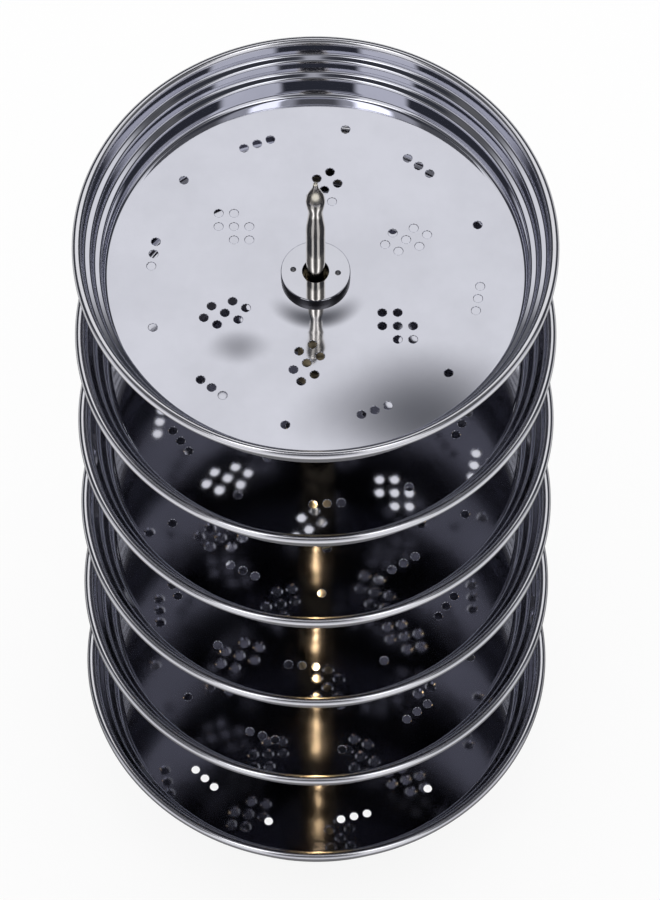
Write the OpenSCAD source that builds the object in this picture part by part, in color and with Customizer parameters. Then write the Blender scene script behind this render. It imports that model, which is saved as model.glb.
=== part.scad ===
// Steamer tray stand for flat steamed cakes: perforated round trays on one rod.
// Each tray has a stepped wall and a rolled edge, and stands on a loose spacer tube.
// The origin is the centre of the foot's underside, +Z is up, sizes are millimetres.

/* [Tray] */
// Outside diameter of a tray over its rolled edge
tray_d = 120; // [114:1:160]
// Height of the rolled edge's top above the tray's floor
tray_depth = 16; // [15:0.5:22]
// Thickness of the tray's sheet
sheet = 0.7; // [0.5:0.05:0.8]
// Diameter of the rolled edge
bead_d = 2.4; // [2.2:0.1:3]
// Width that each of the two steps adds to the wall
step_w = 2.4; // [1.8:0.1:3]
// Height of the lower step above the floor
lower_step_z = 6.4; // [5:0.1:7]
// Height of the upper step above the floor
upper_step_z = 10.8; // [9.8:0.1:11.5]
// Rise of each ledge from its inner to its outer bend
ledge_rise = 0.5; // [0.2:0.1:0.8]
// Outward lean of each upright band of the wall
wall_lean = 0.3; // [0.1:0.1:0.6]
// Radius of the bend between floor and wall
floor_bend = 1.4; // [1:0.1:2]
// Radius of the bends at the steps
step_bend = 0.9; // [0.8:0.05:1]

/* [Hub] */
// Thickness of the hub disc on the floor
hub_h = 2.5; // [1.4:0.1:3]
// Chamfer on the hub disc's upper edge
hub_chamfer = 0.15; // [0.1:0.05:0.3]
// Gap all round between the rod and the hole through the hub
hub_gap = 0.8; // [0.5:0.1:1]
// Diameter of the rivet heads
rivet_head_d = 1.5; // [1.3:0.1:2]
// Height of the rivet heads
rivet_head_h = 0.35; // [0.25:0.05:0.5]
// Diameter of the rivet shanks
rivet_d = 0.9; // [0.7:0.1:1]
// Gap between a rivet head and the spacer beside it
rivet_gap = 0.3; // [0.2:0.1:0.6]
// Width of the hub disc outside the rivet heads
hub_margin = 2.3; // [1.2:0.1:3]

/* [Steam holes] */
// Diameter of a steam hole
hole_d = 2.2; // [1.6:0.1:2.6]
// Hole spacing in the square clusters
cluster_pitch = 3.8; // [3.4:0.1:4]
// Hole spacing in the short rows
row_pitch = 3.5; // [3:0.1:4]
// Radius of the ring of clusters
cluster_r = 24.7; // [22:0.1:26]
// Distance of the short rows from the floor's edge
row_inset = 11.9; // [10:0.1:13]
// Distance of the single holes from the floor's edge
single_inset = 9.8; // [6:0.1:11]
// Number of clusters, rows and single holes round the floor
sector_count = 6; // [3:1:6]
// Turn of a cluster's long diagonal off the radius, in degrees
cluster_turn = 10; // [-20:1:20]
// Turn of the short rows off the clusters, in degrees
row_turn = 34; // [24:1:40]
// Turn of the single holes off the clusters, in degrees
single_turn = 5; // [-6:1:8]

/* [Stack] */
// Number of trays in the stack
tray_count = 6; // [1:1:6]
// Height from one tray's floor to the next
tray_pitch = 43; // [34:1:60]
// Outside diameter of the spacer tubes
spacer_d = 9; // [8:0.1:10]
// Gap all round between the rod and a spacer's bore
spacer_gap = 0.35; // [0.2:0.05:0.4]
// Chamfer on the spacers' ends
spacer_chamfer = 0.4; // [0.2:0.1:0.6]
// Length of the short spacer under the lowest tray
first_spacer_h = 5; // [3:0.5:30]

/* [Rod and handle] */
// Diameter of the rod
rod_d = 5; // [4:0.1:5.4]
// Height of the rod's lower end above the surface
rod_foot_gap = 3; // [1:0.5:4]
// Chamfer at the rod's lower end
rod_chamfer = 0.5; // [0.2:0.1:1]
// Depth of the rod's top end below the top hub
rod_sink = 3; // [1:0.5:6]
// Height of the handle's tip above the top hub
handle_h = 43; // [36:1:60]
// Amount by which the handle's barrel and bulb are thinner than the rod
handle_relief = 0.2; // [0.1:0.05:0.4]
// Diameter of the handle's neck
neck_d = 3.7; // [3:0.1:3.8]
// Diameter of the handle where it leaves the top hub's hole
handle_waist_d = 4.3; // [3.6:0.1:4.4]
// Diameter of the stud under the handle
stud_d = 2.4; // [1.8:0.1:2.6]
// Length of the stud under the handle
stud_h = 7; // [5:0.5:10]
// Room between the stud's end and the bottom of its hole
stud_room = 1; // [0.5:0.1:2]

/* [Foot] */
// Outside diameter of the foot
foot_d = 54; // [48:1:90]
// Height of the foot
foot_h = 10; // [9.5:0.5:24]
// Thickness of the foot's sheet
foot_sheet = 0.9; // [0.7:0.05:1.2]
// Width of the flat ring that the foot stands on
foot_ring_w = 6; // [5:0.5:8]
// Diameter of the foot's flat top
foot_top_d = 24; // [20:1:30]
// Radius of the bends in the foot
foot_bend = 2; // [1.5:0.1:3]
// Outside diameter of the washer on the foot
foot_washer_d = 14; // [11:0.5:16]
// Thickness of the washer on the foot
foot_washer_t = 1; // [0.8:0.1:1.5]
// Width of the nuts across their flats
nut_w = 8; // [7.5:0.1:9]
// Height of the nuts
nut_h = 4; // [3:0.1:5]

/* [Hidden] */
names = function (base) [for (i = [1 : tray_count]) str(base, "_", i)];

fine = 128;
small = 32;
bend_steps = 4;
curl_steps = 16;
cut = 1;

// How far each tray of the stack is turned on the rod, from the lowest up, in degrees
tray_turns = [-12, 14, -31, 7, -22, -5];

// Radii of the wall's bands, from the rolled edge inwards
edge_r = tray_d / 2;
wall_r = edge_r - bead_d;
middle_r = wall_r - step_w;
lower_r = middle_r - step_w;
floor_r = lower_r - wall_lean;
bead_z = tray_depth - bead_d / 2;

// Radii on the hub, from the spacer outwards
hub_hole_r = rod_d / 2 + hub_gap;
rivet_r = (spacer_d + rivet_head_d) / 2 + rivet_gap;
hub_r = rivet_r + rivet_head_d / 2 + hub_margin;

// Heights in the stack
washer_z = foot_h;
upper_nut_z = washer_z + foot_washer_t;
seat_z = upper_nut_z + nut_h;
lower_nut_z = foot_h - foot_sheet - nut_h;
first_floor_z = seat_z + first_spacer_h + sheet;
top_hub_z = floor_z(tray_count) + hub_h;
rod_top_z = top_hub_z - rod_sink;

// Handle outline as [height above the top hub, radius], joined by smooth curves.
// Its heights are counted down from the tip, so that a taller handle has a longer barrel.
tip_r = 0.6;
bulb_r = (rod_d - handle_relief) / 2;
handle_keys = [
    [-rod_sink, rod_d / 2],
    [0, handle_waist_d / 2],
    [6, bulb_r],
    [handle_h - 23, bulb_r],
    [handle_h - 14.4, neck_d / 2],
    [handle_h - 8.4, bulb_r],
    [handle_h, tip_r],
];

function floor_z(level) = first_floor_z + (level - 1) * tray_pitch;

function unit(v) = v / norm(v);
function turned(v, angle) = [
    v[0] * cos(angle) - v[1] * sin(angle),
    v[0] * sin(angle) + v[1] * cos(angle),
];

// Points of an arc that rounds the corner at p1 between p0 and p2
function bend(p0, p1, p2, r) =
    let (
        a = unit(p0 - p1),
        b = unit(p2 - p1),
        half = acos(a * b) / 2,
        centre = p1 + unit(a + b) * r / sin(half),
        start = p1 + a * r / tan(half) - centre,
        sweep = sign(cross(-a, b)) * (180 - 2 * half)
    )
    [for (k = [0 : bend_steps]) centre + turned(start, sweep * k / bend_steps)];

// A path through corners given as [radius, height, bend radius]
function bent_path(corners) =
    let (p = [for (c = corners) [c[0], c[1]]], last = len(p) - 1)
    [for (i = [0 : last])
        each (i == 0 || i == last) ? [p[i]] : bend(p[i - 1], p[i], p[i + 1], corners[i][2])];

// The step from a path to the other face of its sheet, to the left of the path
function sheet_step(path, i) =
    let (
        last = len(path) - 1,
        a = unit(path[max(i, 1)] - path[max(i, 1) - 1]),
        b = unit(path[min(i + 1, last)] - path[min(i + 1, last) - 1]),
        left_a = turned(a, 90),
        n = unit(left_a + turned(b, 90))
    )
    n / (n * left_a);

// A closed outline of a sheet whose upper face follows the path
function sheet_outline(path, t) = concat(
    path,
    [for (i = [len(path) - 1 : -1 : 0]) path[i] - t * sheet_step(path, i)]
);

// A smooth curve through key points whose slope is level at each of them
function smooth_keys(keys, steps) = concat(
    [for (i = [0 : len(keys) - 2], k = [0 : steps - 1])
        let (t = k / steps, blend = (1 - cos(180 * t)) / 2)
        keys[i] * [[1 - t, 0], [0, 1 - blend]] + keys[i + 1] * [[t, 0], [0, blend]]],
    [keys[len(keys) - 1]]
);

module sheet_ring(path, t) {
    rotate_extrude($fn = fine) polygon(sheet_outline(path, t));
}

module tube(outer_d, bore_d, h, chamfer = 0) {
    rotate_extrude($fn = small * 2) polygon([
        [bore_d / 2, 0],
        [outer_d / 2 - chamfer, 0],
        [outer_d / 2, chamfer],
        [outer_d / 2, h - chamfer],
        [outer_d / 2 - chamfer, h],
        [bore_d / 2, h],
    ]);
}

module hole(d, low_z, high_z) {
    translate([0, 0, low_z - cut]) cylinder(d = d, h = high_z - low_z + 2 * cut, $fn = small);
}

module floor_hole() {
    hole(hole_d, -sheet, 0);
}

module hole_cluster() {
    for (i = [-1 : 1], j = [-1 : 1])
        if (abs(i - j) < 2) translate([i * cluster_pitch, j * cluster_pitch]) floor_hole();
}

module hole_row() {
    for (i = [-1 : 1]) translate([i * row_pitch, 0]) floor_hole();
}

module steam_holes() {
    for (i = [0 : sector_count - 1]) rotate(-i * 360 / sector_count) {
        translate([0, cluster_r]) rotate(45 - cluster_turn) hole_cluster();
        rotate(-row_turn) translate([0, floor_r - row_inset]) hole_row();
        rotate(-single_turn) translate([0, floor_r - single_inset]) floor_hole();
    }
}

module at_rivets() {
    for (side = [0, 180]) rotate(side) translate([rivet_r, 0]) children();
}

// The visible face of a tray, from its hub hole out to the end of its curled edge
function tray_path() =
    let (curl = bead_d / 2, centre = [wall_r + curl, bead_z])
    concat(
        bent_path([
            [hub_hole_r, 0],
            [floor_r, 0, floor_bend],
            [lower_r, lower_step_z, step_bend],
            [middle_r - wall_lean, lower_step_z + ledge_rise, step_bend],
            [middle_r, upper_step_z, step_bend],
            [wall_r - wall_lean, upper_step_z + ledge_rise, step_bend],
            [wall_r, bead_z],
        ]),
        [for (k = [1 : curl_steps]) centre + turned([-curl, 0], -270 * k / curl_steps)]
    );

module tray(level) {
    color("lightsteelblue") translate([0, 0, floor_z(level)]) rotate(tray_turns[level - 1])
        difference() {
            sheet_ring(tray_path(), sheet);
            steam_holes();
            at_rivets() hole(rivet_d, -sheet, 0);
        }
}

module hub_disc(level) {
    color("slategray") translate([0, 0, floor_z(level)]) rotate(tray_turns[level - 1]) difference() {
        rotate_extrude($fn = fine) polygon([
            [hub_hole_r, 0],
            [hub_r, 0],
            [hub_r, hub_h - hub_chamfer],
            [hub_r - hub_chamfer, hub_h],
            [hub_hole_r, hub_h],
        ]);
        at_rivets() hole(rivet_d, 0, hub_h);
    }
}

module rivet() {
    grip = sheet + hub_h;
    head_r = rivet_head_d / 2;
    crown_r = head_r * 0.6;
    rotate_extrude($fn = small) polygon([
        [0, -grip - rivet_head_h],
        [crown_r, -grip - rivet_head_h],
        [head_r, -grip],
        [rivet_d / 2, -grip],
        [rivet_d / 2, 0],
        [head_r, 0],
        [crown_r, rivet_head_h],
        [0, rivet_head_h],
    ]);
}

module hub_rivets(level) {
    color("dimgray") translate([0, 0, floor_z(level) + hub_h])
        rotate(tray_turns[level - 1]) at_rivets() rivet();
}

module spacer(level) {
    low_z = level == 1 ? seat_z : floor_z(level - 1) + hub_h;
    color("tan") translate([0, 0, low_z])
        tube(spacer_d, rod_d + 2 * spacer_gap, floor_z(level) - sheet - low_z, spacer_chamfer);
}

module nut() {
    chamfer = nut_w * (1 / cos(30) - 1) / 2;
    difference() {
        intersection() {
            cylinder(d = nut_w / cos(30), h = nut_h, $fn = 6);
            tube(nut_w / cos(30), 0, nut_h, chamfer);
        }
        hole(rod_d, 0, nut_h);
    }
}

module lower_nut() {
    color("silver") translate([0, 0, lower_nut_z]) nut();
}

module upper_nut() {
    color("silver") translate([0, 0, upper_nut_z]) nut();
}

module foot_washer() {
    color("gainsboro") translate([0, 0, washer_z]) tube(foot_washer_d, rod_d, foot_washer_t);
}

module foot() {
    foot_r = foot_d / 2;
    color("lightgray") sheet_ring(bent_path([
        [rod_d / 2, foot_h],
        [foot_top_d / 2, foot_h, foot_bend],
        [foot_r - foot_ring_w, foot_sheet, foot_bend],
        [foot_r, foot_sheet],
    ]), foot_sheet);
}

module rod() {
    socket_h = stud_h + stud_room;
    color("lightgray") rotate_extrude($fn = small * 2) polygon([
        [0, rod_foot_gap],
        [rod_d / 2 - rod_chamfer, rod_foot_gap],
        [rod_d / 2, rod_foot_gap + rod_chamfer],
        [rod_d / 2, rod_top_z],
        [stud_d / 2, rod_top_z],
        [stud_d / 2, rod_top_z - socket_h],
        [0, rod_top_z - socket_h],
    ]);
}

module handle() {
    outline = [for (p = smooth_keys(handle_keys, 8)) [p[1], p[0]]];
    color("whitesmoke") translate([0, 0, top_hub_z]) rotate_extrude($fn = small * 2) polygon(concat(
        [[0, -rod_sink - stud_h], [stud_d / 2, -rod_sink - stud_h], [stud_d / 2, -rod_sink]],
        outline,
        [[0, handle_h]]
    ));
}

foot();
foot_washer();
lower_nut();
upper_nut();
rod();
handle();
for (i = [1 : tray_count]) {
    spacer(i);
    tray(i);
    hub_disc(i);
    hub_rivets(i);
}
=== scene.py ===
"""Looks of a stand of polished steaming trays: pressed pans on a rod, with a turned handle."""

import logging
import math
from dataclasses import dataclass, replace
from enum import Enum, IntEnum
from typing import Any, Iterable, Optional

import bmesh
import bpy
from bmesh.types import BMEdge, BMesh, BMVert
from mathutils import Matrix, Vector

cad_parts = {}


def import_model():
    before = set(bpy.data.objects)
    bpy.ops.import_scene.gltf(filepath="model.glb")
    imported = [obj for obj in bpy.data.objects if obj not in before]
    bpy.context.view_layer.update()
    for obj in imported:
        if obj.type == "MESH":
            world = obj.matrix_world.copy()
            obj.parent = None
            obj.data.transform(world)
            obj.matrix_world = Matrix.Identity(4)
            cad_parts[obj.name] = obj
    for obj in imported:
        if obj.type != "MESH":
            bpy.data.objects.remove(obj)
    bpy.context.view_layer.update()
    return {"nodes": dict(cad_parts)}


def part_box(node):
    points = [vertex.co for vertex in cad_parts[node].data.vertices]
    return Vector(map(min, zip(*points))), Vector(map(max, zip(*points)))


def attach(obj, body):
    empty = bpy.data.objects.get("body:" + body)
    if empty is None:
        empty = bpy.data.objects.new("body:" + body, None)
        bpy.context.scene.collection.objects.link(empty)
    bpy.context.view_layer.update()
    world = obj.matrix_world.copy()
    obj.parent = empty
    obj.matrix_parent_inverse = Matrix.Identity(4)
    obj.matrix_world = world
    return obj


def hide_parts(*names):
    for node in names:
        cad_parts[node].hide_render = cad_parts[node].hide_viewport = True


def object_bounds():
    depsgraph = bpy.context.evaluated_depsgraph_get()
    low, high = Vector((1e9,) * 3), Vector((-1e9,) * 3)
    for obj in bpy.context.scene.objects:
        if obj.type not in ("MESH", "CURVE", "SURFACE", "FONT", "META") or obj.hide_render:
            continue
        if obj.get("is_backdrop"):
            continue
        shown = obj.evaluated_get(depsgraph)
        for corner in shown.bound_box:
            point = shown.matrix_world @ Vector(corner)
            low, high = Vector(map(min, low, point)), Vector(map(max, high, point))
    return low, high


LOG = logging.getLogger("tray_stand")
MM = 0.001
UM = 1e-6
FRAME_W_PX = 660
FRAME_H_PX = 900
SPUN_STEPS = 192
SMALL_STEPS = 96
RIVET_STEPS = 16
SHARP_DEG = 16.0
DIAGONAL_DEG = 45.0
# Metres within which two vertices are one, an edge has no length, and a vertex lies on a ring
MERGE_M = 1e-6
NO_LENGTH_M = 1e-7
ON_RING_M = 1e-5
CLOUD_DETAIL = 4.0
CLOUD_ROUGHNESS = 0.6
WAVE_DETAIL = 1.0
LINE_DETAIL = 2.0
# How much slower a drawn line changes along its length than across it
DRAWN_STRETCH = 0.02
# Turns the long way of a brushed highlight from round the rod to along it
QUARTER_TURN = 0.25

Point = tuple[float, float]


def linear(hex_colour: str) -> tuple[float, float, float, float]:
    """Turns an sRGB colour into the linear one that shaders take.

    Args:
        hex_colour: The colour as "#RRGGBB".

    Returns:
        Linear red, green and blue, and an alpha of 1.
    """
    parts = [int(hex_colour[i : i + 2], 16) / 255 for i in (1, 3, 5)]
    red, green, blue = (c / 12.92 if c <= 0.04045 else ((c + 0.055) / 1.055) ** 2.4 for c in parts)
    return red, green, blue, 1.0


def add_node(
    tree: bpy.types.NodeTree,
    kind: str,
    settings: Optional[dict[str | int, Any]] = None,
    links: Optional[dict[str | int, bpy.types.NodeSocket]] = None,
) -> bpy.types.Node:
    """Adds one shader node.

    Args:
        tree: The node tree that gets it.
        kind: The node's type name, without its "ShaderNode" prefix.
        settings: Property names, or input names or numbers, and their values.
        links: Input names or numbers, and the sockets that feed them.

    Returns:
        The new node.
    """
    node = tree.nodes.new("ShaderNode" + kind)
    for key, value in (settings or {}).items():
        if isinstance(key, str) and hasattr(node, key):
            setattr(node, key, value)
        else:
            node.inputs[key].default_value = value
    for key, socket in (links or {}).items():
        tree.links.new(socket, node.inputs[key])
    return node


class Lay(Enum):
    """Which way the fine lines of a finish run."""

    RINGS = "rings round the rod, as turning and spinning leave them"
    LENGTHWISE = "lines along the rod, as drawing leaves them"
    ALL_WAYS = "no direction, as tumbling or polishing leaves it"


@dataclass(frozen=True)
class Swell:
    """A smooth rise that pressing left in a sheet, level inside one radius and outside another."""

    x_mm: float
    y_mm: float
    inner_mm: float
    outer_mm: float
    rise_mm: float

    def height(self, tree: bpy.types.NodeTree, flat: bpy.types.NodeSocket) -> bpy.types.NodeSocket:
        """Adds nodes for the swell's height.

        Args:
            tree: The material's node tree.
            flat: Object coordinates with no height, in metres.

        Returns:
            The height in metres.
        """
        away = add_node(
            tree, "VectorMath", {"operation": "DISTANCE", 1: (self.x_mm * MM, self.y_mm * MM, 0)}, {0: flat}
        )
        return add_node(
            tree, "MapRange",
            {
                "interpolation_type": "SMOOTHSTEP", "From Min": self.inner_mm * MM,
                "From Max": self.outer_mm * MM, "To Min": self.rise_mm * MM, "To Max": 0.0,
            },
            {"Value": away.outputs["Value"]},
        ).outputs[0]


@dataclass(frozen=True)
class SteelFinish:
    """Stainless steel with its tone, polish, fine lines and the slight waves of pressed sheet.

    Inside its soft clouds, the smudges, the steel is rougher by smudge and darker by the share tone_drop.
    """

    name: str
    colour: str
    roughness: float
    smudge: float = 0.03
    smudge_mm: float = 22.0
    smudge_fade: float = 0.15
    lay: Lay = Lay.ALL_WAYS
    line_mm: float = 0.4
    line_um: float = 0.0
    wave_mm: float = 50.0
    wave_um: float = 0.0
    tone_drop: float = 0.06
    brushed: float = 0.0
    swells: tuple[Swell, ...] = ()

    def _line_vector(
        self, tree: bpy.types.NodeTree, coordinate: bpy.types.NodeSocket
    ) -> bpy.types.NodeSocket:
        """Bends the coordinates so that a noise in them runs along the lay.

        Args:
            tree: The material's node tree.
            coordinate: Object coordinates, in metres.

        Returns:
            The bent coordinates.
        """
        if self.lay is Lay.ALL_WAYS:
            return coordinate
        split = add_node(tree, "SeparateXYZ", links={0: coordinate})
        flat = add_node(tree, "CombineXYZ", links={0: split.outputs[0], 1: split.outputs[1]})
        if self.lay is Lay.RINGS:
            radius = add_node(tree, "VectorMath", {"operation": "LENGTH"}, {0: flat.outputs[0]})
            return add_node(
                tree, "CombineXYZ", links={0: radius.outputs["Value"], 1: split.outputs[2]}
            ).outputs[0]
        slow = add_node(tree, "Math", {"operation": "MULTIPLY", 1: DRAWN_STRETCH}, {0: split.outputs[2]})
        return add_node(
            tree, "CombineXYZ", links={0: split.outputs[0], 1: split.outputs[1], 2: slow.outputs[0]}
        ).outputs[0]

    def _clouds(self, tree: bpy.types.NodeTree, coordinate: bpy.types.NodeSocket) -> bpy.types.NodeSocket:
        """Adds nodes for the soft clouds in the polish and the tone.

        Args:
            tree: The material's node tree.
            coordinate: Object coordinates, in metres.

        Returns:
            A value from 0, clear, to 1, inside a cloud.
        """
        noise = add_node(
            tree, "TexNoise",
            {"Scale": 1 / (self.smudge_mm * MM), "Detail": CLOUD_DETAIL, "Roughness": CLOUD_ROUGHNESS},
            {"Vector": coordinate},
        )
        return add_node(
            tree, "MapRange", {"From Min": 0.5 - self.smudge_fade, "From Max": 0.5 + self.smudge_fade},
            {"Value": noise.outputs["Fac"]},
        ).outputs[0]

    def _relief(
        self, tree: bpy.types.NodeTree, coordinate: bpy.types.NodeSocket
    ) -> Optional[bpy.types.NodeSocket]:
        """Adds nodes for the swells, the slow waves and the fine lines.

        Args:
            tree: The material's node tree.
            coordinate: Object coordinates, in metres.

        Returns:
            The bent normal, or None on steel without relief.
        """
        normal: Optional[bpy.types.NodeSocket] = None
        if self.swells:
            flat = add_node(tree, "VectorMath", {"operation": "MULTIPLY", 1: (1, 1, 0)}, {0: coordinate})
            total, *others = (swell.height(tree, flat.outputs[0]) for swell in self.swells)
            for height in others:
                total = add_node(tree, "Math", {"operation": "ADD"}, {0: total, 1: height}).outputs[0]
            normal = add_node(tree, "Bump", {"Strength": 1.0, "Distance": 1.0}, {"Height": total}).outputs[0]
        for size_mm, depth_um, detail, vector in (
            (self.wave_mm, self.wave_um, WAVE_DETAIL, coordinate),
            (self.line_mm, self.line_um, LINE_DETAIL, self._line_vector(tree, coordinate)),
        ):
            if depth_um:
                noise = add_node(
                    tree, "TexNoise", {"Scale": 1 / (size_mm * MM), "Detail": detail}, {"Vector": vector}
                )
                feed = {"Height": noise.outputs["Fac"]}
                if normal:
                    feed["Normal"] = normal
                bump = add_node(tree, "Bump", {"Strength": 1.0, "Distance": depth_um * UM}, feed)
                normal = bump.outputs["Normal"]
        return normal

    def material(self) -> bpy.types.Material:
        """Builds the finish.

        Returns:
            The material, which reads Object coordinates in metres.
        """
        found = bpy.data.materials.get(self.name)
        if found:
            return found
        made = bpy.data.materials.new(self.name)
        made.use_nodes = True
        tree = made.node_tree
        tree.nodes.clear()
        coordinate = add_node(tree, "TexCoord").outputs["Object"]
        cloud = self._clouds(tree, coordinate)
        polish = add_node(
            tree, "MapRange", {"To Min": self.roughness, "To Max": self.roughness + self.smudge},
            {"Value": cloud},
        )
        full = linear(self.colour)
        dull = tuple(c * (1 - self.tone_drop) for c in full[:3]) + (1.0,)
        tone = add_node(tree, "Mix", {"data_type": "RGBA", 6: full, 7: dull}, {0: cloud})
        feed = {"Base Color": tone.outputs[2], "Roughness": polish.outputs[0]}
        normal = self._relief(tree, coordinate)
        if normal:
            feed["Normal"] = normal
        settings = {"Metallic": 1.0, "Anisotropic": self.brushed}
        if self.brushed:
            around = add_node(tree, "Tangent", {"direction_type": "RADIAL", "axis": "Z"})
            feed["Tangent"] = around.outputs[0]
            settings["Anisotropic Rotation"] = QUARTER_TURN
        shader = add_node(tree, "BsdfPrincipled", settings, feed)
        add_node(tree, "OutputMaterial", links={"Surface": shader.outputs[0]})
        return made


# Mirror-polished stainless: the press leaves slow waves that bend what it mirrors
MIRROR = SteelFinish(
    "mirror_polished_stainless", "#D0D1DB", 0.03, smudge=0.03, wave_mm=40.0, wave_um=300.0, tone_drop=0.08
)
# The top pan's mirror polish, with its own swells: drawn up at the hub, sunk at the front, and one dimple
TOP_MIRROR = replace(
    MIRROR, name="mirror_polished_top_pan", wave_mm=55.0, wave_um=800.0,
    swells=(
        Swell(0.0, 0.0, 8.0, 16.0, 0.36),
        Swell(28.0, -63.0, 0.0, 50.0, -2.3),
        Swell(-19.0, -27.0, 0.0, 14.0, -0.5),
    ),
)
# Mirror-polished disc: thicker than the sheet, so it has no waves
DISC = SteelFinish("mirror_polished_disc", "#CFD0D9", 0.03, smudge=0.03, tone_drop=0.06)
# Edge of the disc, sheared and tumbled: dull; its near-black tone beside the polished faces is a painted dark
# reflection
SHEARED_PAINTED_DARK = SteelFinish("sheared_disc_edge_painted_dark", "#333338", 0.3, smudge=0.1, line_mm=0.6, line_um=4.0)
# Underside of the pans, a little rough, with slow waves: greyer than the inside, as painted shade for the
# dark space between the pans
UNDERSIDE_PAINTED_SHADE = SteelFinish("underside_painted_shade", "#6E6E74", 0.09, smudge=0.05, wave_mm=40.0, wave_um=120.0)
# Polished outer wall: bright, with faint rings where the pan was trued on the lathe
OUTER = SteelFinish(
    "polished_outer_wall", "#C9C9CF", 0.08, smudge=0.04, lay=Lay.RINGS, line_mm=0.5, line_um=0.3, wave_um=60.0
)
# Buffed rolled edge: bright, with the soft glow of a hand-buffed bead
BUFFED = SteelFinish("buffed_rolled_edge", "#DCDCE2", 0.1, smudge=0.04, lay=Lay.RINGS, line_um=0.6)
# Turned tube: its straw tint is painted, the warmth that light gains over many reflections between the pans;
# it is far darker inside soft clouds, which break the golden streaks in the pans into knots, and its fine
# rings spread light up and down
TUBE = SteelFinish(
    "turned_tube_painted_warm_light", "#D6C6A2", 0.42, smudge_mm=8.0, smudge_fade=0.07, lay=Lay.RINGS,
    line_mm=0.35, line_um=1.2, tone_drop=0.92, brushed=0.95
)
# Bright drawn rod: lines run lengthwise and break highlights into streaks
DRAWN = SteelFinish(
    "bright_drawn_rod", "#C9C6C0", 0.1, smudge=0.05, lay=Lay.LENGTHWISE, line_mm=0.35, line_um=1.0
)
# Turned and polished handle: faint rings from the lathe; its warm tint is a painted reflection of warm
# surroundings
TURNED = SteelFinish(
    "turned_polished_stainless", "#E6E0D3", 0.13, smudge=0.04, lay=Lay.RINGS, line_mm=0.3, line_um=0.3
)
# Peened rivet: hammered and dull
PEENED = SteelFinish("peened_rivet_steel", "#77777C", 0.32, smudge=0.1, line_mm=0.5, line_um=12.0)
# Machined nut and washer: bright but not polished, with fine tool marks
MACHINED = SteelFinish(
    "machined_nut_steel", "#B4B4B6", 0.24, smudge=0.1, lay=Lay.RINGS, line_mm=0.3, line_um=2.0
)


class ProfilePen:
    """Draws a wire outline in the plane of X and Z, in millimetres, ready to be spun round Z."""

    def __init__(self, mesh: BMesh, start: Point) -> None:
        """Puts the pen down.

        Args:
            mesh: The mesh that gets the outline.
            start: The first point, as radius and height.
        """
        self.mesh = mesh
        self.verts: list[BMVert] = [mesh.verts.new(self._place(start))]

    @staticmethod
    def _place(point: Point) -> Vector:
        """Returns a point of the outline in metres."""
        return Vector((point[0] * MM, 0.0, point[1] * MM))

    def line_to(self, point: Point) -> None:
        """Draws a straight line to a point.

        Args:
            point: Where the line ends, as radius and height.
        """
        new = self.mesh.verts.new(self._place(point))
        self.mesh.edges.new((self.verts[-1], new))
        self.verts.append(new)

    def arc(self, centre: Point, sweep_deg: float, steps: int) -> None:
        """Swings the pen round a centre.

        Args:
            centre: The arc's centre.
            sweep_deg: The angle, positive towards the left of the way outwards.
            steps: How many straight pieces the arc has.
        """
        before = set(self.mesh.verts)
        bmesh.ops.spin(
            self.mesh, geom=[self.verts[-1]], cent=self._place(centre), axis=(0.0, -1.0, 0.0),
            angle=math.radians(sweep_deg), steps=steps,
        )
        new = [v for v in self.mesh.verts if v not in before]
        ring = self.verts[-1]
        while new:
            nearest = min(new, key=lambda v: (v.co - ring.co).length)
            new.remove(nearest)
            self.verts.append(nearest)
            ring = nearest

    def round_corner(self, corner: Point, after: Point, radius: float, steps: int) -> None:
        """Draws to a corner and round it, as a press bends sheet.

        Args:
            corner: The sharp corner that the bend replaces.
            after: The point that the outline heads for next.
            radius: The bend's radius.
            steps: How many straight pieces the bend has.
        """
        last = Vector((self.verts[-1].co.x / MM, self.verts[-1].co.z / MM))
        here = Vector(corner)
        back = (last - here).normalized()
        ahead = (Vector(after) - here).normalized()
        half = back.angle(ahead) / 2
        middle = here + (back + ahead).normalized() * radius / math.sin(half)
        turn = math.degrees(math.pi - 2 * half)
        left = -back.x * ahead.y + back.y * ahead.x > 0
        self.line_to(tuple(here + back * radius / math.tan(half)))
        self.arc(tuple(middle), turn if left else -turn, steps)

    def path(self, corners: Iterable[tuple[float, float, float]], end: Point, steps: int) -> None:
        """Draws through bent corners to an end point.

        Args:
            corners: Radius, height and bend radius of each corner.
            end: The last point.
            steps: How many straight pieces each bend has.
        """
        stops = list(corners)
        for i, (x, z, bend) in enumerate(stops):
            after = stops[i + 1][:2] if i + 1 < len(stops) else end
            self.round_corner((x, z), after, bend, steps)
        self.line_to(end)


def spin_round(mesh: BMesh, steps: int) -> None:
    """Spins everything in the mesh once round Z and joins the seam and the poles.

    Args:
        mesh: A mesh that holds only outlines.
        steps: How many steps the turn has.
    """
    bmesh.ops.spin(
        mesh, geom=mesh.verts[:] + mesh.edges[:], cent=(0, 0, 0), axis=(0, 0, 1),
        angle=math.tau, steps=steps, use_merge=True,
    )
    bmesh.ops.remove_doubles(mesh, verts=mesh.verts, dist=MERGE_M)
    bmesh.ops.dissolve_degenerate(mesh, edges=mesh.edges, dist=NO_LENGTH_M)


def ring_edges(mesh: BMesh, radius_mm: float, z_mm: float) -> list[BMEdge]:
    """Finds the open ring of edges at a radius and a height.

    Args:
        mesh: The spun mesh.
        radius_mm: The ring's radius.
        z_mm: The ring's height.

    Returns:
        The ring's edges.
    """
    def on_ring(vert: BMVert) -> bool:
        """Tells whether a vertex lies on the ring."""
        near = abs(vert.co.xy.length - radius_mm * MM) < ON_RING_M
        return near and abs(vert.co.z - z_mm * MM) < ON_RING_M

    return [e for e in mesh.edges if len(e.link_faces) < 2 and all(on_ring(v) for v in e.verts)]


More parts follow.
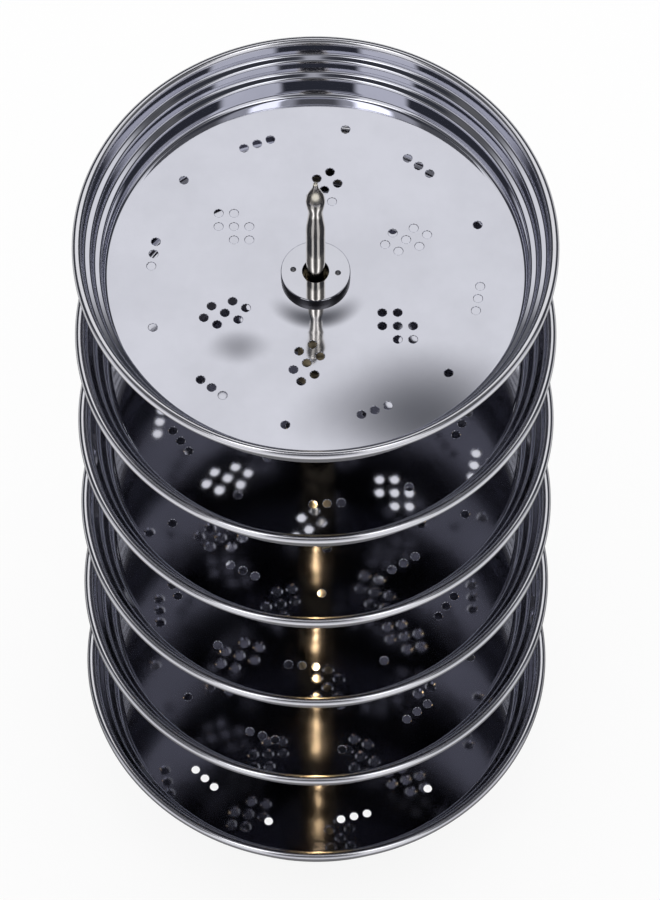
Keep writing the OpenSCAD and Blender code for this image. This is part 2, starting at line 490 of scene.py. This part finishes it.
def hole_edges(mesh: BMesh, centre: Vector, radius_mm: float, steps: int) -> list[BMEdge]:
    """Draws a level circle where a hole goes.

    Args:
        mesh: The mesh that gets the circle.
        centre: The circle's centre, in metres.
        radius_mm: Its radius.
        steps: How many edges it has.

    Returns:
        The circle's edges.
    """
    made = bmesh.ops.create_circle(
        mesh, cap_ends=False, radius=radius_mm * MM, segments=steps, matrix=Matrix.Translation(centre)
    )
    return list({e for v in made["verts"] for e in v.link_edges})


def face_up(mesh: BMesh) -> None:
    """Makes the faces of an open sheet agree, with its level ones upwards.

    Args:
        mesh: The sheet, before it gets its thickness.
    """
    bmesh.ops.recalc_face_normals(mesh, faces=mesh.faces)
    level = max(mesh.faces, key=lambda f: abs(f.normal.z) * f.calc_area())
    if level.normal.z < 0:
        bmesh.ops.reverse_faces(mesh, faces=mesh.faces)


def to_object(mesh: BMesh, name: str, materials: list[bpy.types.Material]) -> bpy.types.Object:
    """Makes the finished mesh an object at the origin, smooth but for its true edges.

    Args:
        mesh: The finished mesh, which is freed.
        name: The object's name.
        materials: Its materials, in the order of the faces' indices.

    Returns:
        The new object.
    """
    for face in mesh.faces:
        face.smooth = True
    data = bpy.data.meshes.new(name)
    mesh.to_mesh(data)
    mesh.free()
    data.set_sharp_from_angle(angle=math.radians(SHARP_DEG))
    for material in materials:
        data.materials.append(material)
    made = bpy.data.objects.new(name, data)
    bpy.context.scene.collection.objects.link(made)
    return made


@dataclass
class PanShape:
    """Sizes of a pressed pan, in millimetres, with its floor's top at height 0."""

    edge_r: float = 60.0
    depth: float = 16.0
    sheet: float = 0.7
    bead_r: float = 1.2
    step_w: float = 2.4
    lower_step_z: float = 6.4
    upper_step_z: float = 10.8
    ledge_rise: float = 0.5
    wall_lean: float = 0.3
    floor_bend: float = 1.4
    step_bend: float = 0.9
    hub_hole_r: float = 3.3
    rivet_ring_r: float = 5.55
    rivet_r: float = 0.45
    flat_ring_w: float = 0.3
    bend_steps: int = 8
    curl_steps: int = 22
    curl_deg: float = 270.0

    @property
    def wall_r(self) -> float:
        """Returns the inner radius of the wall at its top."""
        return self.edge_r - 2 * self.bead_r

    @property
    def floor_r(self) -> float:
        """Returns the radius of the floor."""
        return self.wall_r - 2 * self.step_w - self.wall_lean

    @property
    def bead_z(self) -> float:
        """Returns the height of the rolled edge's centre."""
        return self.depth - self.bead_r


@dataclass
class SteamHoles:
    """The pattern of steam holes, in millimetres and degrees clockwise from the back."""

    hole_r: float = 1.1
    lip: float = 0.14
    # Share of the lip's width and of its depth in each step from the floor down
    lip_steps: tuple[Point, ...] = ((0.55, 0.35), (0.45, 0.65))
    steps: int = 24
    sectors: int = 6
    cluster_r: float = 24.7
    cluster_pitch: float = 3.8
    cluster_turn: float = 10.0
    row_inset: float = 11.9
    row_pitch: float = 3.5
    row_turn: float = 34.0
    single_inset: float = 9.8
    single_turn: float = 5.0

    def centres(self, floor_r: float) -> list[Vector]:
        """Works out where the holes go on an unturned floor.

        Args:
            floor_r: The floor's radius.

        Returns:
            The centres, in metres, at height 0.
        """
        def turned(x: float, y: float, clockwise_deg: float) -> Vector:
            """Returns a point turned about the centre."""
            return Matrix.Rotation(math.radians(-clockwise_deg), 3, "Z") @ Vector((x, y, 0.0))

        found: list[Vector] = []
        pitch = self.cluster_pitch
        for i in range(self.sectors):
            sector = i * 360 / self.sectors
            for a in (-1, 0, 1):
                found.append(turned(a * self.row_pitch, floor_r - self.row_inset, sector + self.row_turn))
                for b in (-1, 0, 1):
                    if abs(a - b) < 2:
                        inner = turned(a * pitch, b * pitch, self.cluster_turn - DIAGONAL_DEG)
                        found.append(turned(inner.x, inner.y + self.cluster_r, sector))
            found.append(turned(0, floor_r - self.single_inset, sector + self.single_turn))
        return [centre * MM for centre in found]


class PanSide(IntEnum):
    """The parts of a pan's surface that differ in finish, in the order of its materials."""

    INSIDE = 0
    UNDERSIDE = 1
    BEAD = 2
    OUTER_WALL = 3


@dataclass
class Pan:
    """One perforated pan, placed by its node in the frame."""

    level: int
    turn: float
    shape: PanShape
    holes: SteamHoles
    inside: SteelFinish = MIRROR
    # Times the bead's radius within which a face still counts as the bead
    bead_reach: float = 1.02
    # Upward part of a normal below which a face looks down
    down_z: float = -0.02

    @property
    def node(self) -> str:
        """Returns the name of the pan's node."""
        return f"tray_{self.level}"

    def _spin_wall(self, mesh: BMesh) -> None:
        """Spins the stepped wall with its rolled edge.

        Args:
            mesh: The empty mesh that gets it.
        """
        s = self.shape
        wall = ProfilePen(mesh, (s.floor_r - s.floor_bend - s.flat_ring_w, 0.0))
        middle_r = s.wall_r - s.step_w
        wall.path(
            [
                (s.floor_r, 0.0, s.floor_bend),
                (middle_r - s.step_w, s.lower_step_z, s.step_bend),
                (middle_r - s.wall_lean, s.lower_step_z + s.ledge_rise, s.step_bend),
                (middle_r, s.upper_step_z, s.step_bend),
                (s.wall_r - s.wall_lean, s.upper_step_z + s.ledge_rise, s.step_bend),
            ],
            (s.wall_r, s.bead_z), s.bend_steps,
        )
        wall.arc((s.wall_r + s.bead_r, s.bead_z), -s.curl_deg, s.curl_steps)
        spin_round(mesh, SPUN_STEPS)

    def _fill_floor(self, mesh: BMesh) -> None:
        """Fills the floor round its holes and turns each steam hole's rim down a little.

        Args:
            mesh: The spun wall, which gets the floor.
        """
        s = self.shape
        h = self.holes
        edges = ring_edges(mesh, s.floor_r - s.floor_bend - s.flat_ring_w, 0.0)
        edges += hole_edges(mesh, Vector(), s.hub_hole_r, SMALL_STEPS)
        for side in (-1, 1):
            edges += hole_edges(mesh, Vector((side * s.rivet_ring_r * MM, 0, 0)), s.rivet_r, RIVET_STEPS)
        rims = [(c, hole_edges(mesh, c, h.hole_r + h.lip, h.steps)) for c in h.centres(s.floor_r)]
        for _, rim in rims:
            edges += rim
        bmesh.ops.triangle_fill(mesh, edges=edges, use_beauty=True)
        for centre, rim in rims:
            for inward, down in h.lip_steps:
                made = bmesh.ops.extrude_edge_only(mesh, edges=rim)
                verts = [g for g in made["geom"] if isinstance(g, BMVert)]
                rim = [g for g in made["geom"] if isinstance(g, BMEdge) and len(g.link_faces) == 1]
                radius = (verts[0].co - centre).xy.length
                shrink = (radius - inward * h.lip * MM) / radius
                space = Matrix.Translation(-centre)
                bmesh.ops.scale(mesh, vec=(shrink, shrink, 1.0), space=space, verts=verts)
                bmesh.ops.translate(mesh, vec=(0, 0, -down * h.lip * MM), verts=verts)

    def _dress(self, mesh: BMesh) -> None:
        """Gives each face its finish: inside, underside, rolled edge or outer wall.

        Args:
            mesh: The pan with its thickness, before it is moved to its place.
        """
        s = self.shape
        for face in mesh.faces:
            centre = face.calc_center_median()
            off = Vector((centre.xy.length / MM - s.wall_r - s.bead_r, centre.z / MM - s.bead_z))
            if off.length < s.bead_r * self.bead_reach:
                face.material_index = PanSide.BEAD
            elif face.normal.z < self.down_z:
                below = centre.z < -s.sheet / 2 * MM
                face.material_index = PanSide.UNDERSIDE if below else PanSide.OUTER_WALL

    def build(self) -> bpy.types.Object:
        """Models the pan in its place.

        Returns:
            The pan, which stands for its node and rides on its body.
        """
        mesh = bmesh.new()
        self._spin_wall(mesh)
        self._fill_floor(mesh)
        face_up(mesh)
        bmesh.ops.solidify(mesh, geom=mesh.faces[:], thickness=self.shape.sheet * MM)
        self._dress(mesh)
        low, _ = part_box(self.node)
        up = Vector((0, 0, low.z + self.shape.sheet * MM))
        place = Matrix.Translation(up) @ Matrix.Rotation(self.turn, 4, "Z")
        bmesh.ops.transform(mesh, matrix=place, verts=mesh.verts)
        # The underside's finish is darkened as painted shade
        finishes = (self.inside, UNDERSIDE_PAINTED_SHADE, BUFFED, OUTER)
        made = to_object(mesh, f"pan_{self.level}", [finish.material() for finish in finishes])
        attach(made, f"tray_{self.level}_body")
        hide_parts(self.node)
        return made


@dataclass
class Hub:
    """The disc on the middle of a pan's floor, and the two rivets that hold it."""

    level: int
    turn: float
    shape: PanShape
    disc_r: float = 8.6
    disc_edge: float = 0.25
    bore_edge: float = 0.12
    head_r: float = 0.75
    head_h: float = 0.35
    crown_steps: int = 5
    head_steps: int = 24
    edge_steps: int = 4
    # Upward part of a normal below which a face is part of the disc's sheared side, which is painted dark
    side_z: float = 0.5

    def _place(
        self, mesh: BMesh, name: str, node: str, finishes: tuple[SteelFinish, ...], slot: str
    ) -> bpy.types.Object:
        """Turns a mesh as its tray is turned and makes it a piece of that tray.

        Args:
            mesh: The closed mesh, at its height.
            name: The piece's name.
            node: The node that it stands for.
            finishes: Its finishes, in the order of the faces' indices.
            slot: Not used.

        Returns:
            The piece.
        """
        bmesh.ops.rotate(mesh, cent=(0, 0, 0), matrix=Matrix.Rotation(self.turn, 3, "Z"), verts=mesh.verts)
        made = to_object(mesh, name, [finish.material() for finish in finishes])
        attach(made, f"tray_{self.level}_body")
        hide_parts(node)
        return made

    def _disc(self) -> bpy.types.Object:
        """Turns the disc: its side, its edges and its bore, with flat faces filled round the rivets.

        Returns:
            The disc.
        """
        node = f"hub_disc_{self.level}"
        low, high = (corner.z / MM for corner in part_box(node))
        top_outer_r = self.disc_r - 2 * self.disc_edge
        top_inner_r = self.shape.hub_hole_r + 2 * self.bore_edge
        mesh = bmesh.new()
        side = ProfilePen(mesh, (self.disc_r, low))
        side.path([(self.disc_r, high, self.disc_edge)], (top_outer_r, high), self.edge_steps)
        bore = ProfilePen(mesh, (self.shape.hub_hole_r, low))
        bore.path([(self.shape.hub_hole_r, high, self.bore_edge)], (top_inner_r, high), self.edge_steps)
        spin_round(mesh, SPUN_STEPS)
        rims: dict[int, list[BMEdge]] = {-1: [], 1: []}
        for z, rings in ((high, (top_outer_r, top_inner_r)), (low, (self.disc_r, self.shape.hub_hole_r))):
            edges = [edge for radius in rings for edge in ring_edges(mesh, radius, z)]
            for side_x, rim in rims.items():
                centre = Vector((side_x * self.shape.rivet_ring_r, 0, z)) * MM
                new = hole_edges(mesh, centre, self.shape.rivet_r, RIVET_STEPS)
                rim += new
                edges += new
            bmesh.ops.triangle_fill(mesh, edges=edges, use_beauty=True)
        for rim in rims.values():
            bmesh.ops.bridge_loops(mesh, edges=rim)
        bmesh.ops.recalc_face_normals(mesh, faces=mesh.faces)
        for face in mesh.faces:
            # The disc's side takes the dull finish that is painted dark as a dark reflection
            face.material_index = int(abs(face.normal.z) < self.side_z)
        return self._place(mesh, f"disc_{self.level}", node, (DISC, SHEARED_PAINTED_DARK), "hub_steel")

    def _rivets(self) -> bpy.types.Object:
        """Turns one rivet with a low crown at each end, and doubles it.

        Returns:
            Both rivets.
        """
        node = f"hub_rivets_{self.level}"
        low, high = (corner.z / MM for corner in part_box(node))
        grip = high - low - 2 * self.head_h
        sphere_r = (self.head_r**2 + self.head_h**2) / (2 * self.head_h)
        crown_deg = math.degrees(math.asin(self.head_r / sphere_r))
        mesh = bmesh.new()
        pen = ProfilePen(mesh, (0.0, self.head_h))
        pen.arc((0.0, self.head_h - sphere_r), -crown_deg, self.crown_steps)
        pen.line_to((self.shape.rivet_r, 0.0))
        pen.line_to((self.shape.rivet_r, -grip))
        pen.line_to((self.head_r, -grip))
        pen.arc((0.0, -grip - self.head_h + sphere_r), -crown_deg, self.crown_steps)
        spin_round(mesh, self.head_steps)
        bmesh.ops.recalc_face_normals(mesh, faces=mesh.faces)
        first = mesh.verts[:] + mesh.edges[:] + mesh.faces[:]
        twin = bmesh.ops.duplicate(mesh, geom=first)["geom"]
        up = (high - self.head_h) * MM
        for side, group in ((-1, first), (1, twin)):
            verts = [g for g in group if isinstance(g, BMVert)]
            bmesh.ops.translate(mesh, vec=(side * self.shape.rivet_ring_r * MM, 0, up), verts=verts)
        return self._place(mesh, f"rivets_{self.level}", node, (PEENED,), "rivet_steel")

    def build(self) -> list[bpy.types.Object]:
        """Models the disc and its rivets.

        Returns:
            The two pieces.
        """
        return [self._disc(), self._rivets()]


@dataclass
class Spacer:
    """One loose tube on the rod, with its ends turned off and rounded."""

    level: int
    outer_r: float = 4.5
    bore_r: float = 2.85
    edge: float = 0.4
    edge_steps: int = 4

    def build(self) -> bpy.types.Object:
        """Models the tube in its place.

        Returns:
            The tube, which stands for its node and rides on its body.
        """
        node = f"spacer_{self.level}"
        low, high = (corner.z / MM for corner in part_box(node))
        mesh = bmesh.new()
        pen = ProfilePen(mesh, (self.bore_r, low))
        corners = [(self.outer_r, low, self.edge), (self.outer_r, high, self.edge)]
        pen.path(corners, (self.bore_r, high), self.edge_steps)
        pen.line_to((self.bore_r, low))
        spin_round(mesh, SMALL_STEPS)
        bmesh.ops.recalc_face_normals(mesh, faces=mesh.faces)
        made = to_object(mesh, f"tube_{self.level}", [TUBE.material()])
        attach(made, f"spacer_{self.level}_body")
        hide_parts(node)
        return made


@dataclass
class Core:
    """The rod, its turned handle and the foot."""

    rod_r: float = 2.5
    thread_pitch: float = 0.8
    thread_depth: float = 0.35
    waist_r: float = 2.15
    barrel_r: float = 2.4
    neck_r: float = 1.85
    tip_r: float = 0.6
    barrel_low_z: float = 6.0
    barrel_top_down: float = 23.0
    neck_down: float = 14.4
    bulb_down: float = 8.4
    rod_sink: float = 3.0
    foot_r: float = 27.0
    foot_h: float = 10.0
    foot_sheet: float = 0.9
    foot_ring_w: float = 6.0
    foot_top_r: float = 12.0
    foot_bend: float = 2.0
    curve_steps: int = 14
    tip_steps: int = 6
    bend_steps: int = 8

    def _finish(self, mesh: BMesh, name: str, node: str, finish: SteelFinish) -> bpy.types.Object:
        """Turns a spun mesh into a piece of the stand.

        Args:
            mesh: The closed mesh.
            name: The piece's name.
            node: The node that it stands for.
            finish: Its finish.

        Returns:
            The piece.
        """
        made = to_object(mesh, name, [finish.material()])
        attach(made, "stand")
        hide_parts(node)
        return made

    def _rod(self) -> bpy.types.Object:
        """Models the rod with a cut thread where the nuts grip it.

        Returns:
            The rod.
        """
        low, high = (corner.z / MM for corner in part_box("rod"))
        mesh = bmesh.new()
        core_r = self.rod_r - self.thread_depth
        pen = ProfilePen(mesh, (0.0, low))
        pen.line_to((core_r, low))
        z = low + self.thread_pitch / 2
        thread_top = self.foot_h + self.thread_pitch
        while z < thread_top:
            pen.line_to((self.rod_r, z))
            pen.line_to((core_r, z + self.thread_pitch / 2))
            z += self.thread_pitch
        pen.line_to((self.rod_r, z))
        pen.line_to((self.rod_r, high))
        pen.line_to((0.0, high))
        spin_round(mesh, SMALL_STEPS)
        bmesh.ops.recalc_face_normals(mesh, faces=mesh.faces)
        return self._finish(mesh, "central_rod", "rod", DRAWN)

    def _handle(self) -> bpy.types.Object:
        """Turns the handle: a long barrel, a neck and a pointed bulb, placed down from its tip.

        Returns:
            The handle.
        """
        tip_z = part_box("handle")[1].z / MM
        hub_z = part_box("rod")[1].z / MM + self.rod_sink
        h = tip_z - hub_z
        keys = [
            (self.rod_r, -self.rod_sink),
            (self.waist_r, 0.0),
            (self.barrel_r, self.barrel_low_z),
            (self.barrel_r, h - self.barrel_top_down),
            (self.neck_r, h - self.neck_down),
            (self.barrel_r, h - self.bulb_down),
            (self.tip_r, h - self.tip_r),
        ]
        mesh = bmesh.new()
        pen = ProfilePen(mesh, (0.0, hub_z - self.rod_sink))
        pen.line_to((self.rod_r, hub_z - self.rod_sink))
        for (r0, z0), (r1, z1) in zip(keys, keys[1:]):
            for k in range(1, self.curve_steps + 1):
                t = k / self.curve_steps
                blend = (1 - math.cos(math.pi * t)) / 2
                pen.line_to((r0 + (r1 - r0) * blend, hub_z + z0 + (z1 - z0) * t))
        pen.arc((0.0, tip_z - self.tip_r), 90.0, self.tip_steps)
        spin_round(mesh, SMALL_STEPS)
        bmesh.ops.recalc_face_normals(mesh, faces=mesh.faces)
        return self._finish(mesh, "turned_handle", "handle", TURNED)

    def _foot(self) -> bpy.types.Object:
        """Presses the foot: a flat top, a sloping wall and a flat ring.

        Returns:
            The foot.
        """
        mesh = bmesh.new()
        pen = ProfilePen(mesh, (self.rod_r, self.foot_h))
        pen.path(
            [
                (self.foot_top_r, self.foot_h, self.foot_bend),
                (self.foot_r - self.foot_ring_w, self.foot_sheet, self.foot_bend),
            ],
            (self.foot_r, self.foot_sheet), self.bend_steps,
        )
        spin_round(mesh, SPUN_STEPS)
        face_up(mesh)
        bmesh.ops.solidify(mesh, geom=mesh.faces[:], thickness=self.foot_sheet * MM)
        return self._finish(mesh, "pressed_foot", "foot", MIRROR)

    def build(self) -> list[bpy.types.Object]:
        """Builds the rod, the handle and the foot.

        Returns:
            The three pieces.
        """
        return [self._rod(), self._handle(), self._foot()]


@dataclass
class Window:
    """A soft-edged patch of the studio's sky, in degrees."""

    colour: str
    strength: float
    azimuth: Point
    elevation: Point
    soft: Point


@dataclass
class Studio:
    """White surroundings, soft boxes that only the steel sees, a floor and the camera.

    Azimuths count from the camera's side, positive to its right.
    """

    camera_elevation: float = 61.0
    camera_distance: float = 3.0
    tray_width_px: float = 473.0
    aim_share: float = 0.523
    centre_px: float = 316.0
    sensor_mm: float = 36.0
    clip: Point = (0.05, 50.0)
    floor_r: float = 8.0
    floor_steps: int = 64
    floor_drop: float = 0.0002
    dim_sky: str = "#3E4046"
    # Share of the sweep that glows, where the rest takes the stand's shadow
    sweep_glow: float = 0.86
    # The sweep's glow in the steel, close to the stand and far off, and the distances of the two: weaker near
    # the stand as a painted shadow that only the steel sees
    sweep_in_steel: Point = (0.15, 1.0)
    sweep_shade: Point = (0.15, 0.5)
    # Share of that glow behind the stand, and how far from the stand it is reached
    sweep_behind: float = 0.6
    sweep_turn: float = 0.3
    lamp_size: Point = (0.09, 0.04)
    lamp_distance: float = 0.5
    lamp_height: float = 0.125
    lamp_watts: float = 38.0
    lamp_colour: str = "#FFEACC"
    windows: tuple[Window, ...] = (
        # Broad box in front, for the near walls and rolled edges
        Window("#EDEDF2", 0.85, (-80.0, 80.0), (-30.0, 30.0), (20.0, 8.0)),
        # High box at the back, which lies in the top pan's floor
        Window("#FFFFFF", 1.0, (128.0, 180.0), (47.0, 62.5), (16.0, 8.0)),
        # Dim edge of the broad box, a box overhead and a faint strip, for the bands of the far wall
        Window("#EDEDF2", 0.35, (-80.0, 80.0), (30.0, 40.0), (20.0, 6.0)),
        Window("#EDEDF2", 0.6, (-60.0, 60.0), (74.0, 90.0), (20.0, 5.0)),
        Window("#FFFFFF", 0.15, (-110.0, 110.0), (60.0, 70.0), (12.0, 3.0)),
        # Upright strips, for the bright patches of the far wall
        Window("#FFFFFF", 1.0, (-42.0, -22.0), (16.0, 56.0), (4.0, 3.0)),
        Window("#FFFFFF", 1.0, (20.0, 44.0), (16.0, 56.0), (4.0, 3.0)),
        # Side boxes with a bright strip in each, for the two streaks of the handle
        Window("#FFFFFF", 0.6, (-62.0, -22.0), (60.0, 78.0), (10.0, 3.0)),
        Window("#FFFFFF", 0.6, (20.0, 60.0), (60.0, 78.0), (10.0, 3.0)),
        Window("#FFFFFF", 2.6, (-47.0, -30.0), (60.0, 78.0), (5.0, 3.0)),
        Window("#FFFFFF", 2.4, (30.0, 46.0), (60.0, 78.0), (5.0, 3.0)),
    )

    def _between(
        self, tree: bpy.types.NodeTree, value: bpy.types.NodeSocket, span: Point, soft: float
    ) -> bpy.types.NodeSocket:
        """Adds nodes that are 1 inside a span of degrees and fall to 0 outside it.

        Args:
            tree: The world's node tree.
            value: The angle, in radians.
            span: The lower and upper limit, in degrees.
            soft: How many degrees the fall takes.

        Returns:
            The socket with the result.
        """
        low, high = (math.radians(v) for v in span)
        edge = math.radians(soft)
        rise = add_node(
            tree, "MapRange", {"interpolation_type": "SMOOTHSTEP", "From Min": low - edge, "From Max": low},
            {"Value": value},
        )
        fall = add_node(
            tree, "MapRange",
            {"interpolation_type": "SMOOTHSTEP", "From Min": high, "From Max": high + edge,
             "To Min": 1.0, "To Max": 0.0},
            {"Value": value},
        )
        return add_node(
            tree, "Math", {"operation": "MULTIPLY"}, {0: rise.outputs[0], 1: fall.outputs[0]}
        ).outputs[0]

    def _sky(self, tree: bpy.types.NodeTree) -> bpy.types.NodeSocket:
        """Adds nodes for the dim studio with its windows, which only the steel sees.

        Args:
            tree: The world's node tree.

        Returns:
            The socket with the sky's colour.
        """
        direction = add_node(tree, "TexCoord").outputs["Generated"]
        split = add_node(tree, "SeparateXYZ", links={0: direction})
        front = add_node(tree, "Math", {"operation": "MULTIPLY", 1: -1.0}, {0: split.outputs[1]})
        azimuth = add_node(
            tree, "Math", {"operation": "ARCTAN2"}, {0: split.outputs[0], 1: front.outputs[0]}
        ).outputs[0]
        around = add_node(tree, "Math", {"operation": "ABSOLUTE"}, {0: azimuth}).outputs[0]
        elevation = add_node(tree, "Math", {"operation": "ARCSINE"}, {0: split.outputs[2]}).outputs[0]
        sky: Optional[bpy.types.NodeSocket] = None
        for window in self.windows:
            # A window that reaches straight back lies on both sides
            side = around if window.azimuth[1] >= 180 else azimuth
            patch = add_node(
                tree, "Math", {"operation": "MULTIPLY"},
                {
                    0: self._between(tree, side, window.azimuth, window.soft[0]),
                    1: self._between(tree, elevation, window.elevation, window.soft[1]),
                },
            )
            colour = tuple(c * window.strength for c in linear(window.colour)[:3]) + (1.0,)
            feed = {0: patch.outputs[0]}
            if sky:
                feed[6] = sky
            sky = add_node(
                tree, "Mix",
                {"data_type": "RGBA", "clamp_result": False, 6: linear(self.dim_sky), 7: colour}, feed,
            ).outputs[2]
        return sky

    def _world(self) -> None:
        """Builds the surroundings: white to the camera, a studio with soft boxes to the steel."""
        world = bpy.data.worlds.new("studio")
        bpy.context.scene.world = world
        world.use_nodes = True
        tree = world.node_tree
        tree.nodes.clear()
        path = add_node(tree, "LightPath")
        plain = add_node(
            tree, "Math", {"operation": "MAXIMUM"},
            {0: path.outputs["Is Camera Ray"], 1: path.outputs["Is Diffuse Ray"]},
        )
        shown = add_node(
            tree, "Mix", {"data_type": "RGBA", 7: linear("#FFFFFF")},
            {0: plain.outputs[0], 6: self._sky(tree)},
        )
        glow = add_node(tree, "Background", {"Strength": 1.0}, {"Color": shown.outputs[2]})
        add_node(tree, "OutputWorld", links={"Surface": glow.outputs[0]})

    def _sweep_strength(
        self, tree: bpy.types.NodeTree, path: bpy.types.Node
    ) -> bpy.types.NodeSocket:
        """Adds nodes for the sweep's glow: even to the camera, weaker in steel near the stand, a painted
        shadow of it, and behind it.

        Args:
            tree: The sweep's node tree.
            path: Its Light Path node.

        Returns:
            The socket with the strength.
        """
        place = add_node(tree, "TexCoord").outputs["Object"]
        away = add_node(tree, "VectorMath", {"operation": "LENGTH"}, {0: place})
        span = dict(zip(("From Min", "From Max", "To Min", "To Max"), self.sweep_shade + self.sweep_in_steel))
        shade = add_node(tree, "MapRange", span, {"Value": away.outputs["Value"]})
        behind = add_node(
            tree, "MapRange",
            {
                "From Min": -self.sweep_turn, "From Max": self.sweep_turn,
                "To Min": 1.0, "To Max": self.sweep_behind,
            },
            {"Value": add_node(tree, "SeparateXYZ", links={0: place}).outputs[1]},
        )
        shaded = add_node(
            tree, "Math", {"operation": "MULTIPLY"}, {0: shade.outputs[0], 1: behind.outputs[0]}
        )
        return add_node(
            tree, "MapRange", {"To Min": 1.0},
            {"Value": path.outputs["Is Glossy Ray"], "To Max": shaded.outputs[0]},
        ).outputs[0]

    def _floor(self) -> None:
        """Lays a white floor that keeps the stand's soft shadow."""
        mesh = bmesh.new()
        bmesh.ops.create_circle(mesh, cap_ends=True, radius=self.floor_r, segments=self.floor_steps)
        bmesh.ops.translate(mesh, vec=(0, 0, -self.floor_drop), verts=mesh.verts)
        material = bpy.data.materials.new("white_sweep")
        material.use_nodes = True
        tree = material.node_tree
        tree.nodes.clear()
        path = add_node(tree, "LightPath")
        matt = add_node(tree, "BsdfDiffuse", {"Color": linear("#FFFFFF")})
        glow = add_node(
            tree, "Emission", {"Color": linear("#FFFFFF")}, {"Strength": self._sweep_strength(tree, path)}
        )
        seen = add_node(
            tree, "Math", {"operation": "MAXIMUM"},
            {0: path.outputs["Is Camera Ray"], 1: path.outputs["Is Glossy Ray"]},
        )
        share = add_node(tree, "Math", {"operation": "MULTIPLY", 1: self.sweep_glow}, {0: seen.outputs[0]})
        both = add_node(
            tree, "MixShader", links={0: share.outputs[0], 1: matt.outputs[0], 2: glow.outputs[0]}
        )
        add_node(tree, "OutputMaterial", links={"Surface": both.outputs[0]})
        to_object(mesh, "sweep", [material])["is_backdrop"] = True

    def _lamp(self, lit: list[bpy.types.Object]) -> None:
        """Stands a small warm strip lamp low in front, flagged off all but some tubes between the pans.

        It shines in between the pans, so each pan's wall shades the lower part of the tube in it.

        Args:
            lit: The pieces that its light reaches.
        """
        data = bpy.data.lights.new("strip_lamp", "AREA")
        data.shape = "RECTANGLE"
        data.size, data.size_y = self.lamp_size
        data.energy = self.lamp_watts
        data.color = linear(self.lamp_colour)[:3]
        lamp = bpy.data.objects.new("strip_lamp", data)
        bpy.context.scene.collection.objects.link(lamp)
        lamp.visible_camera = False
        lamp.light_linking.receiver_collection = bpy.data.collections.new("lit_by_strip_lamp")
        for piece in lit:
            lamp.light_linking.receiver_collection.objects.link(piece)
        lamp.location = Vector((0, -self.lamp_distance, self.lamp_height))
        lamp.rotation_euler = Vector((0, 1, 0)).to_track_quat("-Z", "Y").to_euler()

    def _camera(self) -> None:
        """Sets the camera high in front of the stand, framed as the photograph is."""
        tilt = math.radians(self.camera_elevation)
        back = Vector((0, -math.cos(tilt), math.sin(tilt)))
        low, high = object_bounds()
        data = bpy.data.cameras.new("camera")
        camera = bpy.data.objects.new("camera", data)
        bpy.context.scene.collection.objects.link(camera)
        bpy.context.scene.camera = camera
        focal_px = self.tray_width_px / (high.x - low.x) * self.camera_distance
        data.sensor_width = self.sensor_mm
        data.lens = self.sensor_mm * focal_px / FRAME_H_PX
        data.clip_start, data.clip_end = self.clip
        data.dof.use_dof = False
        # Height at which the line of sight crosses the rod, half-way down the picture
        aim = Vector((0, 0, low.z + (high.z - low.z) * self.aim_share))
        side_px = FRAME_W_PX / 2 - self.centre_px
        aim.x += side_px / focal_px * self.camera_distance
        camera.location = aim + back * self.camera_distance
        camera.rotation_euler = (-back).to_track_quat("-Z", "Y").to_euler()

    def build(self, tubes: list[bpy.types.Object]) -> None:
        """Builds the surroundings, the floor, the lamp and the camera.

        Args:
            tubes: The tubes that the lamp lights.
        """
        self._world()
        self._floor()
        self._lamp(tubes)
        self._camera()
        bpy.context.scene.view_settings.view_transform = "Standard"


def tray_turn(nodes: dict[str, bpy.types.Object], level: int) -> float:
    """Reads from the frame how far a tray is turned, by the places of its two rivets.

    Args:
        nodes: The frame's nodes.
        level: The tray's level, from 1 at the bottom.

    Returns:
        The angle about Z, in radians, between minus and plus a quarter turn.
    """
    points = [v.co for v in nodes[f"hub_rivets_{level}"].data.vertices if v.co.x > 0]
    centre = sum(points, Vector()) / len(points)
    return math.atan2(centre.y, centre.x)


def dress_node(nodes: dict[str, bpy.types.Object], name: str, finish: SteelFinish) -> None:
    """Gives a node of the frame a better material.

    Args:
        nodes: The frame's nodes.
        name: The node's name.
        finish: Its finish.
    """
    data = nodes[name].data
    data.materials.clear()
    data.materials.append(finish.material())
    LOG.info("dressed %s in %s", name, finish.name)


def main() -> None:
    """Builds the stand around the frame, then the studio."""
    logging.basicConfig(level=logging.INFO, format="%(name)s: %(message)s")
    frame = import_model()
    nodes = frame["nodes"]
    levels = sorted(int(name.split("_")[1]) for name in nodes if name.startswith("tray_"))
    shape = PanShape()
    holes = SteamHoles()
    pieces = Core().build()
    tubes: list[bpy.types.Object] = []
    for level in levels:
        turn = tray_turn(nodes, level)
        inside = TOP_MIRROR if level == levels[-1] else MIRROR
        pieces.append(Pan(level, turn, shape, holes, inside).build())
        pieces += Hub(level, turn, shape).build()
        tubes.append(Spacer(level).build())
    for name in ("foot_washer", "lower_nut", "upper_nut"):
        dress_node(nodes, name, MACHINED)
    for piece in pieces + tubes:
        LOG.info("built %s: %d faces", piece.name, len(piece.data.polygons))
    # The highest tube stays out of the lamp's light: the holes above it would glow
    Studio().build(tubes[:-1])


if __name__ == "__main__":
    main()
